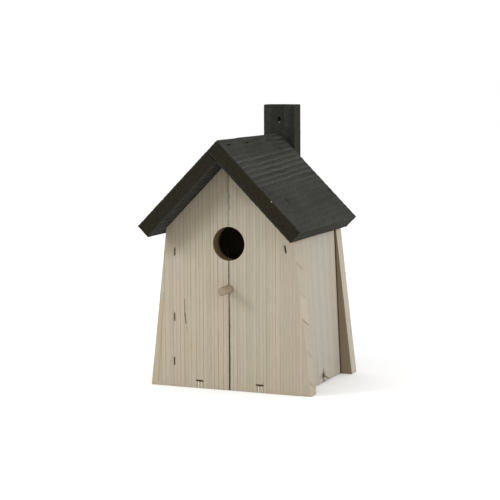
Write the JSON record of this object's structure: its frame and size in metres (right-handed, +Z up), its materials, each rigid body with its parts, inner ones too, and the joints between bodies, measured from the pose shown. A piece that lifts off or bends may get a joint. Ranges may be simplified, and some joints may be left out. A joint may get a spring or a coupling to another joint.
{
  "type": "birdhouse",
  "caption": "Small gabled nest box of pale untreated boards with a charcoal roof, a round entrance, a dowel perch, a hinged cleaning side and a hanging batten.",
  "frame": {"origin": "under the middle of the whole object, at its foot", "axes": "+X to the right seen from the front, towards the cleaning door; +Y to the back, towards the batten; +Z up"},
  "size_m": [0.165, 0.172, 0.267],
  "materials": {
    "untreated_spruce": "planed and sawn, untreated",
    "stained_spruce": "matt charcoal stain",
    "perch_wood": "turned, untreated",
    "galvanised_wire": "dull galvanised, slightly rusted",
    "bright_steel": "plain steel",
    "zinc_screw": "zinc plated"
  },
  "bodies": {
    "house": {"front_board_left": "untreated_spruce", "front_board_right": "untreated_spruce", "back_board_left": "untreated_spruce", "back_board_right": "untreated_spruce", "side_wall_left": "untreated_spruce", "floor_board": "untreated_spruce", "roof_board_left": "stained_spruce", "roof_board_right": "stained_spruce", "hanging_batten": "stained_spruce", "perch_dowel": "perch_wood", "side_wall_staples_front": "galvanised_wire", "side_wall_staples_back": "galvanised_wire", "floor_staples_front": "galvanised_wire", "floor_staples_back": "galvanised_wire", "ridge_staples": "galvanised_wire", "roof_staples_right": "galvanised_wire", "roof_staples_left": "galvanised_wire", "door_pivot_nail_front": "bright_steel", "door_pivot_nail_back": "bright_steel", "batten_screws": "zinc_screw"},
    "door": {"cleaning_door": "untreated_spruce"},
    "lock_screw": {"door_lock_screw": "zinc_screw"}
  },
  "joints": [
    {"name": "door_swing", "type": "hinge", "parent": "house", "child": "door", "pos_m": [0.05705, 0.005, 0.137], "axis": [0, -1, 0], "range_deg": [0, 90]},
    {"name": "lock_screw_out", "type": "slide", "parent": "door", "child": "lock_screw", "axis": [0.9989, 0, 0.0469], "range_m": [0, 0.02]}
  ]
}
